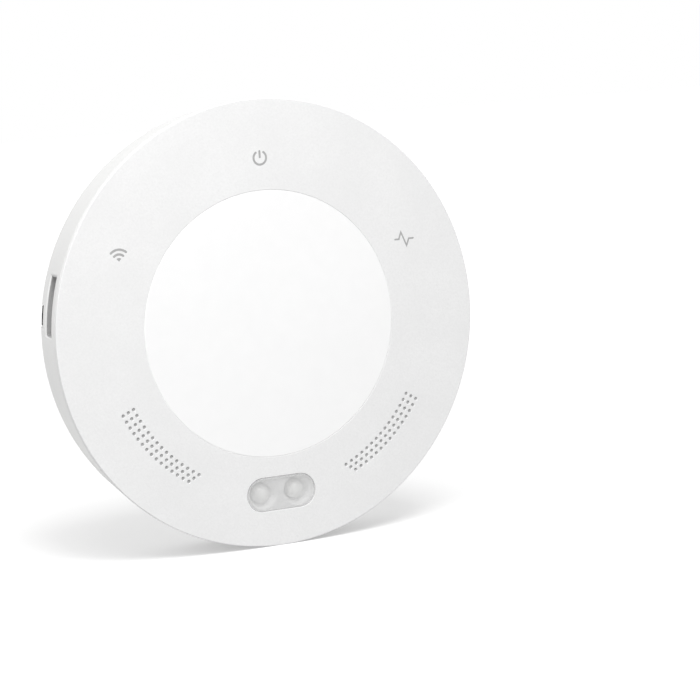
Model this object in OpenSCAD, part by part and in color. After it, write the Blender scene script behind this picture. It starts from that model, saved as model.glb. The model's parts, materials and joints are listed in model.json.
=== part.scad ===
// Round wall-mounted garage door controller.
// Seen from the front: X right, Z up, the front face looks along -Y, the wall plane is Y = 0.
// Modules work with the disc lying on its back (x right, y up the face, z out of the wall)
// and upright() stands the result on edge.

/* [Housing] */
// Radius of the rim where it meets the bezel
body_r = 75; // [60:0.5:100]
// Depth from the wall plane to the front face
body_depth = 24; // [20:0.5:36]
// How much smaller the rim's radius is at the wall
rim_taper = 2.6; // [0.5:0.1:4]
// Thickness of the rim wall
wall = 2.4; // [1.6:0.1:3.2]
// Thickness of the back wall
floor_t = 2.2; // [1.6:0.1:3]
// Radius of the rounded edge at the wall
back_edge_r = 1.6; // [0.5:0.1:2.4]
// Shadow gap between the rim and the bezel
seam_gap = 0.3; // [0.2:0.05:0.6]
// Play between parts that fit into each other
fit = 0.2; // [0.1:0.05:0.3]

/* [Bezel and cap] */
// Thickness of the bezel plate
bezel_t = 2.2; // [1.8:0.1:3]
// Thickness of the bezel's visible edge
bezel_edge_t = 1.4; // [1.2:0.1:1.8]
// Radius of the bezel's front edge
bezel_edge_r = 0.5; // [0.4:0.1:1.1]
// Width of the matt band between the rim and the centre cap
band_w = 30.4; // [25:0.2:38]
// Thickness of the centre cap
cap_t = 1.8; // [1.2:0.1:2]
// Width of the ledge that carries the centre cap
ledge_w = 2.4; // [1.8:0.1:4]
// Thickness of that ledge
ledge_t = 1.8; // [1.2:0.1:2.4]
// Depth of the bezel's skirt inside the rim
skirt_h = 2.8; // [1.5:0.1:4]

/* [Grilles] */
// Distance from the rim to the innermost row of holes
grille_inset = 19; // [17:0.2:21]
// Hole diameter
grille_hole_d = 1.2; // [0.8:0.1:1.5]
// Holes in a row
grille_cols = 15; // [9:1:17]
// Rows of holes
grille_rows = 3; // [2:1:3]
// Angle between neighbouring holes of a row
grille_pitch = 2.4; // [2.1:0.02:2.6]
// Distance between rows
grille_row_step = 2.05; // [1.8:0.05:2.3]
// Direction in which the rows step outwards, below the horizontal
grille_row_lean = 28.4; // [24:0.2:36]
// First hole of a grille, below the horizontal
grille_start = 27.8; // [24:0.2:28]
// Turn of both grilles about the centre, clockwise
grille_turn = 3.7; // [0:0.1:4]
// Place of both grilles to the right of the centre
grille_shift = 0.8; // [0:0.1:1]
// Thickness of the face in front of the grille cloth
grille_face_t = 1.2; // [1:0.1:1.4]

/* [Warning lamps] */
// Width of the lamp window
lamp_w = 25; // [22:0.5:30]
// Height of the lamp window
lamp_h = 11.6; // [10.8:0.2:14]
// Distance from the rim to the middle of the window
lamp_inset = 17.8; // [16:0.2:19]
// Thickness of the window behind the face
lamp_window_t = 1; // [0.8:0.1:1.4]
// How far the window stands proud of the face
lamp_window_proud = 0.3; // [0.1:0.1:0.6]
// Radius of the window's front edge
lamp_window_edge_r = 0.8; // [0.3:0.1:1]
// Depth of the reflector bowls
bowl_depth = 3.6; // [2.5:0.1:4]
// Diameter of a lamp dome
dome_d = 6.6; // [5:0.2:7]

/* [Status marks] */
// Distance from the rim to the mark at the top
top_mark_inset = 19.5; // [17:0.5:21]
// Distance from the rim to the mark at the left
left_mark_inset = 16.2; // [15:0.2:19]
// Distance from the rim to the mark at the right
right_mark_inset = 18.6; // [15:0.2:19]
// Left mark above the horizontal
left_mark_angle = 28.5; // [25:0.5:32]
// Right mark above the horizontal
right_mark_angle = 25; // [22:0.5:32]
// Diameter of a light guide
guide_d = 4.4; // [3:0.2:5]

/* [Wall mount] */
// Distance between the keyholes
keyhole_spacing = 60; // [50:1:72]
// Height of the keyholes' entry holes above the centre
keyhole_y = 34; // [32:0.5:36]
// Diameter of the entry hole for the screw head
keyhole_entry_d = 8.5; // [8:0.1:10]
// Width of the slot for the screw shank
keyhole_slot_w = 4.4; // [4:0.1:5]
// Drop of the housing onto the screws
keyhole_drop = 8; // [6:0.5:9]

/* [Wiring] */
// Length of the wiring bay, from the rim side inwards
bay_l = 28; // [22:0.5:34]
// Width of the wiring bay
bay_w = 28; // [24:0.5:34]
// Depth of the wiring bay
bay_depth = 14; // [12:0.5:15]
// Distance of the bay's middle below the left mark
bay_drop = 20.1; // [19:0.1:24]
// Gap between the wire socket and the bay behind it
bay_gap = 1; // [0.5:0.1:3]
// Wall of the bay
bay_wall = 1.8; // [1.2:0.1:2.2]
// Width of the cable channel and its notch in the rim
channel_w = 7.2; // [5:0.2:9]
// Depth of the cable channel
channel_depth = 4.4; // [4.2:0.1:4.5]
// Height of the channel above the bay's middle
channel_rise = 0.6; // [-2:0.1:2]
// Length of the cable grommet in the channel's mouth
grommet_l = 6; // [4:0.5:8]
// Diameter of the grommet's cable hole
grommet_bore_d = 2.6; // [2:0.1:3]
// Width of the slit from that hole to the wall side
grommet_slit_w = 0.4; // [0.3:0.1:0.6]
// How far the grommet's end stays inside the rim
grommet_sunk = 0.4; // [0.2:0.1:0.8]
// Length of the connector slot in the rim
slot_w = 20.4; // [16:0.2:25]
// Height of the connector slot
slot_h = 9; // [6:0.2:9.4]
// Height of the slot's middle above the bay's middle
slot_rise = 4.7; // [4:0.1:6.4]
// Distance of the slot's middle from the wall plane
slot_z = 13; // [12.5:0.1:13.5]
// Flare of the slot's long edges
slot_flare = 0.4; // [0.2:0.1:0.8]
// Contacts in the wire socket
contacts = 6; // [4:1:6]

/* [Board] */
// Thickness of the main board
board_t = 1.6; // [1:0.1:2]
// Height of the standoffs under the main board
standoff_h = 3.8; // [3.8:0.1:5]
// Height of a door relay
relay_h = 9.8; // [8:0.1:10]
// Travel of the reset button
reset_travel = 0.6; // [0.3:0.1:0.8]
// Diameter of the reset button
reset_d = 4; // [3:0.1:5]
// Running gap round the reset button
reset_gap = 0.3; // [0.2:0.05:0.4]

/* [Hidden] */
$fn = 96;
hole_fn = 24;
// Overlap of joined shapes and overshoot of cuts
eps = 0.01;
over = 1;
// Air between a part and what stands next to it
air = 0.6;

// Levels along the disc's axis
face_z = body_depth;
bezel_under_z = face_z - bezel_t;
seam_z = face_z - bezel_edge_t - seam_gap;
cap_under_z = face_z - cap_t;
ledge_under_z = cap_under_z - ledge_t;
board_z = floor_t + standoff_h;
board_top_z = board_z + board_t;
boss_split_z = 15;

// Radii
back_r = body_r - rim_taper;
rim_slope = rim_taper / seam_z;
function rim_outer_r(z) = back_r + rim_slope * z;
function rim_inner_r(z) = rim_outer_r(z) - wall;
cap_r = body_r - band_w;
ledge_r = cap_r - ledge_w;
skirt_t = 1.4;
skirt_r = rim_inner_r(bezel_under_z - skirt_h) - fit;
board_gap = 1;
board_r = rim_inner_r(board_z) - board_gap;

// Screws
case_screw_r = body_r - 8.5;
case_screw_angles = [55, 125, 253, 287];
case_boss_r = 3.4;
case_head_r = 2.5;
case_head_t = 1.8;
case_shank_r = 1.25;
case_head_seat_z = 6;
boss_web_t = 1.2;
boss_web_drop = 2;
screw_end_gap = 1;
board_screw_r = body_r - 16;
board_screw_angles = [70, 110, 200, 340];
standoff_r = 2.9;
standoff_floor_t = 0.4;
board_head_r = 2.4;
board_head_t = 1.5;
board_shank_r = 1.2;

// Keyhole hoods
head_play = 1.6;
hood_t = 1;
hood_roof_t = 0.9;
hood_top_z = board_z - air / 2;

// Speakers behind the grilles
// Place of a grille hole; side is -1 left or 1 right, counted from the upper end and the inner row
function grille_at(side, col, row) =
    let (turn = side * grille_turn, a = grille_start + turn + col * grille_pitch, lean = grille_row_lean + turn,
        r = body_r - grille_inset, d = row * grille_row_step)
    [grille_shift + side * (r * cos(a) + d * cos(lean)), -r * sin(a) - d * sin(lean)];
function grille_middle(side) = grille_at(side, (grille_cols - 1) / 2, (grille_rows - 1) / 2);
grille_l = norm(grille_at(1, grille_cols - 1, 0) - grille_at(1, 0, 0));
cloth_t = 0.4;
speaker_margin = 2.95;
speaker_l = grille_l + 2 * speaker_margin;
speaker_w = 15;
speaker_flange = 1.5;
speaker_flange_t = 1.5;
speaker_body_t = 3;
speaker_wall = 1.2;
speaker_rib_t = 1.2;
speaker_cone_t = 0.5;
speaker_seat_t = 1;
magnet_r = 5.6;
magnet_t = 3;
magnet_gap = 0.8;
pole_r = 3;
coil_r = 3.4;
cloth_top_z = face_z - grille_face_t;
speaker_top_z = cloth_top_z - cloth_t;
speaker_rim_z = speaker_top_z - speaker_flange_t;
speaker_body_z = speaker_rim_z - speaker_body_t;
speaker_cone_z = speaker_rim_z - speaker_cone_t;

// Warning lamps
lamp_r = body_r - lamp_inset;
bowl_inset = 0.4;
lamp_pitch = lamp_w - lamp_h - 2 * bowl_inset;
lamp_lip = 1.4;
lamp_lip_t = 1.2;
bowl_rim = 0.7;
dome_gap = 0.4;
bowl_top_r = lamp_h / 2 - bowl_rim;
bowl_floor_r = dome_d / 2 + dome_gap;
window_under_z = face_z - lamp_window_t;
bowl_floor_z = window_under_z - bowl_depth;
reflector_floor_t = 0.8;
lamp_board_t = 1.2;
lamp_board_top_z = bowl_floor_z - reflector_floor_t;
lamp_board_z = lamp_board_top_z - lamp_board_t;
lamp_board_edge = 0.7;
lamp_board_corner_r = 1.5;
lamp_post_gap = 2.6;
lamp_post_edge = 3;
lamp_post_x = lamp_w / 2 + lamp_lip + lamp_post_gap;
lamp_post_r = 1.2;
lamp_post_shoulder = 1;
lamp_post_head_r = 2;
lamp_post_head_t = 0.8;
lamp_board_l = 2 * (lamp_post_x + lamp_post_edge);
lamp_board_w = lamp_h + 2 * lamp_board_edge;
header_edge = 1.8;
header_y = -lamp_r + lamp_board_w / 2 - header_edge;
header_pitch = 2.54;
header_pins = 3;
header_pin = 0.64;

// Status marks: radius and angle of each
mark_r = [body_r - top_mark_inset, body_r - left_mark_inset, body_r - right_mark_inset];
mark_angle = [90, 180 - left_mark_angle, right_mark_angle];
status_lamp_size = [3.5, 2.8, 1.1];
guide_collar_t = 0.9;
guide_collar_h = 4;
guide_air = 0.3;

// Heights of the bay, the channel and the slot, at the left below the left mark
bay_y = mark_r[1] * sin(mark_angle[1]) - bay_drop;
channel_y = bay_y + channel_rise;
slot_y = bay_y + slot_rise;

// Wire socket
socket_wall = 1.1;
socket_floor_t = 0.9;
socket_back_t = 1.5;
socket_l = 10.5;
socket_w = slot_w - 2 * fit + 2 * socket_wall;
socket_top_z = min(slot_z + slot_h / 2 + socket_wall, bezel_under_z - fit);
socket_room_z = max(slot_z - slot_h / 2, board_top_z + socket_floor_t);
socket_corner_y = slot_y + socket_w / 2;
socket_x = -(sqrt(pow(rim_inner_r(board_top_z), 2) - pow(socket_corner_y, 2)) - fit);
socket_end_x = socket_x + socket_l;
contact_t = 1;
contact_l = 5;

// Wiring bay, its socket and its button, seen from the front at the left
bay_out_x = socket_end_x + bay_gap + bay_wall;
bay_in_x = bay_out_x + bay_l;
bay_corner_r = 2;
bay_roof_t = 1.6;
channel_wall = 1.4;
usb_drop = 6;
usb_y = bay_y - usb_drop;
usb_w = 9;
usb_h = 3.3;
usb_l = 7.4;
usb_shell = 0.35;
reset_rise = 7;
reset_y = bay_y + reset_rise;
reset_z = board_top_z + 3.6;
reset_r = reset_d / 2;
reset_proud = 0.8;
reset_flange = 0.9;
reset_flange_t = 1;
switch_w = 6;
switch_l = 3.6;
switch_h = 6.8;
switch_gap = 3;
switch_x = bay_in_x + bay_wall + switch_gap;
plunger_r = 1.2;
plunger_out = 0.9;

// Parts on the main board: middle and size of each
radio_at = [15, 19];
radio_size = [18, 25.5, 0.8];
shield_size = [15.8, 17.6, 2.4];
shield_wall = 0.3;
shield_edge = 1.2;
processor_at = [31, 14];
processor_size = [9, 9, 1.2];
relay_at = [[2, -8], [14, -8], [26, -8]];
relay_l = 20;
relay_w = 10;
relay_corner_r = 0.8;
capacitor_at = [[10, -26], [20, -26]];
capacitor_r = 4;
capacitor_h = 9;
capacitor_base_t = 1;
capacitor_groove_r = 0.5;
capacitor_groove_z = 2.4;

// Shared shapes and places

module upright() rotate([90, 0, 0]) children();

// Ring of copies at a radius, one for each angle
module polar(radius, angles) for (a = angles) translate([radius * cos(a), radius * sin(a), 0]) children();

// Straight-sided oval, length along x
module racetrack(l, w) {
    square([l - w, w], center = true);
    for (s = [-1, 1]) translate([s * (l - w) / 2, 0]) circle(d = w);
}

// The same oval as a solid, from a half-section that runs outwards from its middle line
module racetrack_solid(l, w) {
    rotate([90, 0, 90]) linear_extrude(l - w, center = true) for (m = [0, 1]) mirror([m, 0]) children();
    for (s = [-1, 1]) translate([s * (l - w) / 2, 0, 0])
        rotate(-90 * s) rotate_extrude(angle = 180) children();
}

module rounded_rect(l, w, r) {
    square([l - 2 * r, w], center = true);
    square([l, w - 2 * r], center = true);
    for (x = [-1, 1], y = [-1, 1]) translate([x * (l / 2 - r), y * (w / 2 - r)]) circle(r);
}

module quarter_disc(r) intersection() {
    circle(r);
    square(r);
}

module slab(z0, z1) translate([0, 0, z0]) linear_extrude(z1 - z0) children();

// Cylinder between two levels
module post(r, z0, z1) translate([0, 0, z0]) cylinder(r = r, h = z1 - z0);

// The space inside the rim, less a gap
module inside_rim(gap) translate([0, 0, floor_t])
    cylinder(r1 = rim_inner_r(floor_t) - gap, r2 = rim_inner_r(seam_z) - gap, h = seam_z - floor_t);

// Puts a shape over the middle of a grille with its length along the grille
module behind_grille(side) {
    at = grille_middle(side);
    translate([at.x, at.y, 0]) rotate(atan2(at.y, at.x) + 90) children();
}

// Outline of a speaker, grown outwards
module speaker_outline(grow = 0) racetrack(speaker_l + 2 * grow, speaker_w + 2 * grow);

module at_lamp_window() translate([0, -lamp_r, 0]) children();
module at_lamp_posts() at_lamp_window() for (s = [-1, 1]) translate([s * lamp_post_x, 0, 0]) children();
module at_lamp(side) translate([side * lamp_pitch / 2, -lamp_r, 0]) children();
module at_mark(i) translate([mark_r[i] * cos(mark_angle[i]), mark_r[i] * sin(mark_angle[i]), 0]) children();
module at_case_screws() polar(case_screw_r, case_screw_angles) children();
module at_board_screws() polar(board_screw_r, board_screw_angles) children();
module at_keyholes() for (s = [-1, 1]) translate([s * keyhole_spacing / 2, keyhole_y, 0]) children();
module at_bay() translate([(bay_out_x + bay_in_x) / 2, bay_y, 0]) children();
module at_reset(x) translate([x, reset_y, reset_z]) rotate([0, 90, 0]) children();

// Rear housing: tapered tub with wiring bay, cable channel, connector slot, keyholes and screw posts

module rim_profile() {
    slant = sqrt(1 + rim_slope * rim_slope);
    edge_x = back_r + rim_slope * back_edge_r - back_edge_r * slant;
    difference() {
        union() {
            polygon([[0, 0], [edge_x, 0], [edge_x, back_edge_r],
                [edge_x + back_edge_r / slant, back_edge_r - back_edge_r * rim_slope / slant],
                [body_r, seam_z], [0, seam_z]]);
            translate([edge_x, back_edge_r]) circle(back_edge_r);
        }
        polygon([[-over, floor_t], [rim_inner_r(floor_t), floor_t], [rim_inner_r(seam_z), seam_z],
            [rim_inner_r(seam_z), seam_z + over], [-over, seam_z + over]]);
        translate([-back_r, -over]) square([back_r, body_depth]);
    }
}

module keyhole() {
    circle(d = keyhole_entry_d);
    translate([0, keyhole_drop / 2]) square([keyhole_slot_w, keyhole_drop], center = true);
    translate([0, keyhole_drop]) circle(d = keyhole_slot_w);
}

// Room for the head of a wall screw behind a keyhole, grown by a wall for the hood round it
module screw_head_room(grow = 0) {
    room_w = keyhole_entry_d + head_play + 2 * grow;
    translate([0, keyhole_drop / 2]) rotate(90) racetrack(keyhole_drop + room_w, room_w);
}

module cable_channel_shape(grow = 0) {
    width = channel_w + 2 * grow;
    start_x = -body_r - over;
    translate([start_x, channel_y - width / 2]) square([bay_out_x + bay_corner_r - start_x, width]);
}

// Web that ties a screw post to the rim
module boss_web(angle) {
    web_l = rim_inner_r(boss_split_z) + fit - case_screw_r;
    web_h = boss_split_z - boss_web_drop - floor_t;
    rotate(angle) translate([case_screw_r, -boss_web_t / 2, floor_t - eps]) cube([web_l, boss_web_t, web_h]);
}

// Connector slot through the rim; its long edges flare along the rim's curve, to just short of its ends
module connector_slot() {
    low_z = slot_z - slot_h / 2;
    high_z = slot_z + slot_h / 2;
    low_r = rim_outer_r(low_z);
    high_r = rim_outer_r(high_z);
    start_x = -body_r - over;
    flare_from = asin((slot_y - slot_w / 2 + slot_flare) / rim_outer_r(slot_z));
    flare_to = asin((slot_y + slot_w / 2 - slot_flare) / rim_outer_r(slot_z));
    translate([start_x, slot_y - slot_w / 2, low_z]) cube([socket_end_x - start_x, slot_w, slot_h]);
    rotate(180 - flare_to) rotate_extrude(angle = flare_to - flare_from)
        polygon([[low_r - slot_flare, low_z], [low_r + over, low_z - slot_flare - over],
            [high_r + over, high_z + slot_flare + over], [high_r - slot_flare, high_z]]);
}

module rear_housing() color("white") upright() {
    bay_top_z = bay_depth + bay_roof_t;
    difference() {
        union() {
            rotate_extrude() rim_profile();
            at_keyholes() slab(0, hood_top_z) screw_head_room(hood_t);
            at_case_screws() post(case_boss_r, 0, boss_split_z);
            for (a = case_screw_angles) boss_web(a);
            at_board_screws() post(standoff_r, 0, board_z);
            at_bay() slab(0, bay_top_z)
                rounded_rect(bay_l + 2 * bay_wall, bay_w + 2 * bay_wall, bay_corner_r + bay_wall);
            intersection() {
                slab(0, channel_depth + channel_wall) cable_channel_shape(channel_wall);
                post(back_r - wall / 2, 0, body_depth);
            }
        }
        at_bay() slab(-over, bay_depth) rounded_rect(bay_l, bay_w, bay_corner_r);
        slab(-over, channel_depth) cable_channel_shape();
        at_keyholes() slab(-over, floor_t + eps) keyhole();
        at_keyholes() slab(floor_t, hood_top_z - hood_roof_t) screw_head_room();
        at_case_screws() {
            post(case_shank_r + fit, -over, boss_split_z + over);
            post(case_head_r + fit, -over, case_head_seat_z);
        }
        at_board_screws() post(board_shank_r + fit / 2, floor_t + standoff_floor_t, board_z + over);
        connector_slot();
        translate([bay_in_x - over, usb_y - usb_w / 2 - fit, board_top_z - fit])
            cube([bay_wall + 2 * over, usb_w + 2 * fit, usb_h + 2 * fit]);
        at_reset(bay_in_x - over) cylinder(r = reset_r + reset_gap, h = bay_wall + 2 * over);
    }
}

// Cable grommet: rubber plug in the channel's mouth, slit towards the wall to open over a cable

module cable_grommet() color("dimgray") upright() difference() {
    plug_l = body_r - back_r + grommet_l;
    plug_w = channel_w - 2 * fit;
    plug_h = channel_depth - fit;
    cut_l = plug_l + 2 * over;
    intersection() {
        translate([-body_r, channel_y - plug_w / 2, 0]) cube([plug_l, plug_w, plug_h]);
        cylinder(r1 = back_r - grommet_sunk, r2 = rim_outer_r(plug_h) - grommet_sunk, h = plug_h);
    }
    translate([-body_r - over, channel_y, plug_h / 2]) {
        rotate([0, 90, 0]) cylinder(d = grommet_bore_d, h = cut_l);
        translate([0, -grommet_slit_w / 2, -plug_h]) cube([cut_l, grommet_slit_w, plug_h]);
    }
}

// Front bezel: matt annular face with grilles, lamp opening, cap ledge, bosses and speaker ribs

module bezel_profile() {
    ledge_rib_w = 2;
    polygon([[ledge_r, ledge_under_z], [cap_r + fit + ledge_rib_w, ledge_under_z],
        [cap_r + fit + ledge_rib_w, bezel_under_z], [skirt_r - skirt_t, bezel_under_z],
        [skirt_r - skirt_t, bezel_under_z - skirt_h], [skirt_r, bezel_under_z - skirt_h],
        [skirt_r, seam_z + seam_gap], [body_r, seam_z + seam_gap], [body_r, face_z - bezel_edge_r],
        [body_r - bezel_edge_r, face_z - bezel_edge_r], [body_r - bezel_edge_r, face_z],
        [cap_r + fit, face_z], [cap_r + fit, cap_under_z], [ledge_r, cap_under_z]]);
    translate([body_r - bezel_edge_r, face_z - bezel_edge_r]) quarter_disc(bezel_edge_r);
}

module front_bezel() color("gainsboro") upright() {
    guide_bore_r = guide_d / 2 + fit;
    collar_z = bezel_under_z - guide_collar_h;
    pocket = speaker_flange + fit;
    difference() {
        union() {
            rotate_extrude() bezel_profile();
            at_case_screws() post(case_boss_r, boss_split_z, bezel_under_z + eps);
            for (i = [0 : 2]) at_mark(i) post(guide_bore_r + guide_collar_t, collar_z, bezel_under_z + eps);
            for (s = [-1, 1]) behind_grille(s) slab(speaker_rim_z, bezel_under_z + eps)
                speaker_outline(pocket + speaker_rib_t);
            at_lamp_posts() {
                post(lamp_post_r + lamp_post_shoulder, lamp_board_top_z, bezel_under_z + eps);
                post(lamp_post_r, lamp_board_z - eps, bezel_under_z);
                post(lamp_post_head_r, lamp_board_z - lamp_post_head_t, lamp_board_z);
            }
        }
        for (s = [-1, 1]) {
            slab(bezel_under_z - over, face_z + over)
                for (col = [0 : grille_cols - 1], row = [0 : grille_rows - 1])
                    translate(grille_at(s, col, row)) circle(d = grille_hole_d, $fn = hole_fn);
            behind_grille(s) slab(speaker_rim_z - over, cloth_top_z) speaker_outline(pocket);
        }
        at_lamp_window() slab(bezel_under_z - over, face_z + over) racetrack(lamp_w, lamp_h);
        at_case_screws() post(case_shank_r + fit / 2, boss_split_z - over, bezel_under_z - screw_end_gap / 2);
        for (i = [0 : 2]) at_mark(i) post(guide_bore_r, collar_z - over, bezel_under_z);
        // Room in the skirt for the wire socket, where a shallow housing brings them together
        translate([-body_r, slot_y - socket_w / 2 - fit, 0])
            cube([body_r + socket_end_x + fit, socket_w + 2 * fit, socket_top_z + fit]);
    }
}

// Centre cap: glossy disc on the bezel's ledge, held by four hooked clips

module cap_clip() {
    clip_w = 6;
    clip_t = 1.2;
    hook = 0.9;
    hook_t = 1;
    clip_end_z = ledge_under_z - fit - hook_t;
    leg_x = ledge_r - 2 * fit - clip_t;
    translate([leg_x, -clip_w / 2, clip_end_z]) cube([clip_t, clip_w, cap_under_z - clip_end_z + eps]);
    translate([leg_x, -clip_w / 2, clip_end_z]) cube([clip_t + 2 * fit + hook, clip_w, hook_t]);
}

module centre_cap() color("white") upright() {
    edge = 0.3;
    rotate_extrude() polygon([[0, cap_under_z], [cap_r, cap_under_z], [cap_r, face_z - edge],
        [cap_r - edge, face_z], [0, face_z]]);
    for (a = [45 : 90 : 315]) rotate(a) cap_clip();
}

// Warning lamps: window with a rounded edge, reflector with two bowls, two domed lamps, board and header

module lamp_window() color("lightgray", 0.5) upright() at_lamp_window() translate([0, 0, window_under_z]) {
    window_w = lamp_h - 2 * fit;
    window_h = lamp_window_t + lamp_window_proud;
    edge_r = lamp_window_edge_r;
    racetrack_solid(lamp_w - 2 * fit, window_w) {
        square([window_w / 2, window_h - edge_r]);
        square([window_w / 2 - edge_r, window_h]);
        translate([window_w / 2 - edge_r, window_h - edge_r]) quarter_disc(edge_r);
    }
}

// Space of a bowl: hole for the lamp, then a wall that curves up from the hole to stand square to the window
module bowl_space() {
    wall_w = bowl_top_r - bowl_floor_r;
    arc_r = (pow(wall_w, 2) + pow(bowl_depth, 2)) / (2 * wall_w);
    rotate_extrude() {
        translate([0, -reflector_floor_t - over])
            square([bowl_floor_r, reflector_floor_t + bowl_depth + over]);
        intersection() {
            translate([bowl_top_r - arc_r, bowl_depth]) circle(arc_r);
            translate([bowl_floor_r / 2, 0]) square([bowl_top_r, bowl_depth]);
        }
        translate([0, bowl_depth - eps]) square([bowl_top_r, over]);
    }
}

module lamp_reflector() color("lightgray") upright() difference() {
    at_lamp_window() {
        slab(lamp_board_top_z, window_under_z) racetrack(lamp_w - 2 * fit, lamp_h - 2 * fit);
        slab(bezel_under_z - lamp_lip_t, bezel_under_z)
            racetrack(lamp_w + 2 * lamp_lip, lamp_h + 2 * lamp_lip);
    }
    for (s = [-1, 1]) at_lamp(s) translate([0, 0, bowl_floor_z]) bowl_space();
}

module domed_lamp(side) color("whitesmoke") upright() at_lamp(side) {
    collar_h = 1;
    dome_r = dome_d / 2;
    translate([0, 0, lamp_board_top_z]) rotate_extrude() {
        square([dome_r, collar_h]);
        translate([0, collar_h]) quarter_disc(dome_r);
    }
}

module lamp_board() color("seagreen") upright() difference() {
    at_lamp_window() slab(lamp_board_z, lamp_board_top_z)
        rounded_rect(lamp_board_l, lamp_board_w, lamp_board_corner_r);
    slab(lamp_board_z - over, lamp_board_top_z + over) {
        at_lamp_posts() circle(lamp_post_r + fit / 2);
        at_case_screws() circle(case_boss_r + air);
        for (s = [-1, 1]) behind_grille(s) speaker_outline(air);
    }
}

module lamp_header() color("dimgray") upright() translate([0, header_y, 0]) {
    carrier_l = header_pins * header_pitch;
    carrier_h = 2.5;
    slab(board_top_z, board_top_z + carrier_h) square([carrier_l, header_pitch], center = true);
    for (i = [0 : header_pins - 1]) translate([(i - (header_pins - 1) / 2) * header_pitch, 0])
        slab(board_top_z, lamp_board_z) square(header_pin, center = true);
}

// Status lamps on the board and the light guides above them

module light_guide(i) color("aliceblue") upright() at_mark(i)
    post(guide_d / 2, board_top_z + status_lamp_size.z + guide_air, bezel_under_z);

module status_lamps() color("lightyellow") upright() for (i = [0 : 2]) at_mark(i)
    block_on_board([0, 0], status_lamp_size);

// Main board and what stands on it

module main_board() color("darkgreen") upright() difference() {
    slab(board_z, board_top_z) circle(board_r);
    slab(board_z - over, board_top_z + over) {
        at_case_screws() circle(case_boss_r + air);
        at_board_screws() circle(board_shank_r + fit);
        at_bay() rounded_rect(bay_l + 2 * (bay_wall + air), bay_w + 2 * (bay_wall + air), bay_corner_r);
    }
}

module block_on_board(at, size, z = board_top_z)
    translate([at.x - size.x / 2, at.y - size.y / 2, z]) cube(size);

module processor() color("dimgray") upright() block_on_board(processor_at, processor_size);

module radio_module() color("darkgreen") upright() block_on_board(radio_at, radio_size);

// Pressed can, open underneath, at the end of the module away from its aerial
module radio_shield() color("silver") upright() {
    shield_at = radio_at - [0, (radio_size.y - shield_size.y) / 2 - shield_edge];
    shield_z = board_top_z + radio_size.z;
    shield_room = shield_size - [2 * shield_wall, 2 * shield_wall, shield_wall];
    difference() {
        block_on_board(shield_at, shield_size, shield_z);
        block_on_board(shield_at, shield_room, shield_z - eps);
    }
}

module door_relay(i) color("black") upright() translate(relay_at[i])
    slab(board_top_z, board_top_z + relay_h) rounded_rect(relay_w, relay_l, relay_corner_r);

// Cans with a crimped groove, each on a square base
module capacitors() color("slategray") upright() for (at = capacitor_at) {
    block_on_board(at, [2 * capacitor_r, 2 * capacitor_r, capacitor_base_t]);
    translate([at.x, at.y, board_top_z]) rotate_extrude() difference() {
        square([capacitor_r, capacitor_h]);
        translate([capacitor_r, capacitor_groove_z]) circle(capacitor_groove_r);
    }
}

// Wire socket behind the rim slot: shroud whose mouth follows the rim, with a row of contacts

module wire_socket() color("darkgray") upright() difference() {
    intersection() {
        translate([-body_r, slot_y - socket_w / 2, board_top_z])
            cube([body_r + socket_end_x, socket_w, socket_top_z - board_top_z]);
        inside_rim(fit);
    }
    translate([-body_r - over, slot_y - socket_w / 2 + socket_wall, socket_room_z])
        cube([body_r + over + socket_end_x - socket_back_t, socket_w - 2 * socket_wall,
            socket_top_z - socket_wall - socket_room_z]);
}

module wire_contacts() color("goldenrod") upright() {
    contact_pitch = (socket_w - 2 * socket_wall) / contacts;
    for (i = [0 : contacts - 1])
        translate([socket_end_x - socket_back_t - contact_l,
            slot_y + (i - (contacts - 1) / 2) * contact_pitch - contact_t / 2, slot_z - contact_t / 2])
            cube([contact_l, contact_t, contact_t]);
}

// Power socket at the inner end of the bay: metal shell with a tongue

module power_socket() color("silver") upright() translate([bay_in_x, usb_y, board_top_z + usb_h / 2]) {
    back_t = 0.8;
    tongue_t = 0.7;
    tongue_in = 1.6;
    tongue_l = usb_l - tongue_in;
    rotate([90, 0, 90]) {
        difference() {
            linear_extrude(usb_l) racetrack(usb_w, usb_h);
            translate([0, 0, -over]) linear_extrude(usb_l - back_t + over)
                racetrack(usb_w - 2 * usb_shell, usb_h - 2 * usb_shell);
        }
        translate([0, 0, usb_l - back_t - tongue_l]) linear_extrude(tongue_l + eps)
            square([usb_w - usb_h, tongue_t], center = true);
    }
}

// Reset button in the bay's inner wall, pressing a side-acting switch on the board

module reset_switch() color("black") upright() difference() {
    plunger_room = plunger_out + reset_travel + 2 * fit;
    translate([switch_x, reset_y - switch_w / 2, board_top_z]) cube([switch_l, switch_w, switch_h]);
    at_reset(switch_x - over) cylinder(r = plunger_r + reset_gap, h = over + plunger_room);
}

module switch_plunger() color("ivory") upright() at_reset(switch_x - plunger_out)
    cylinder(r = plunger_r, h = 2 * plunger_out);

module reset_button() color("lightgray") upright() {
    flange_x = bay_in_x + bay_wall + fit;
    stem_end_x = switch_x - plunger_out;
    at_reset(bay_in_x - reset_proud) cylinder(r = reset_r, h = flange_x - bay_in_x + reset_proud + eps);
    at_reset(flange_x) cylinder(r = reset_r + reset_flange, h = reset_flange_t);
    at_reset(flange_x) cylinder(r = plunger_r, h = stem_end_x - flange_x);
}

// Speakers: frame under the cloth, diaphragm with a dome and a coil, magnet pot behind

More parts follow.
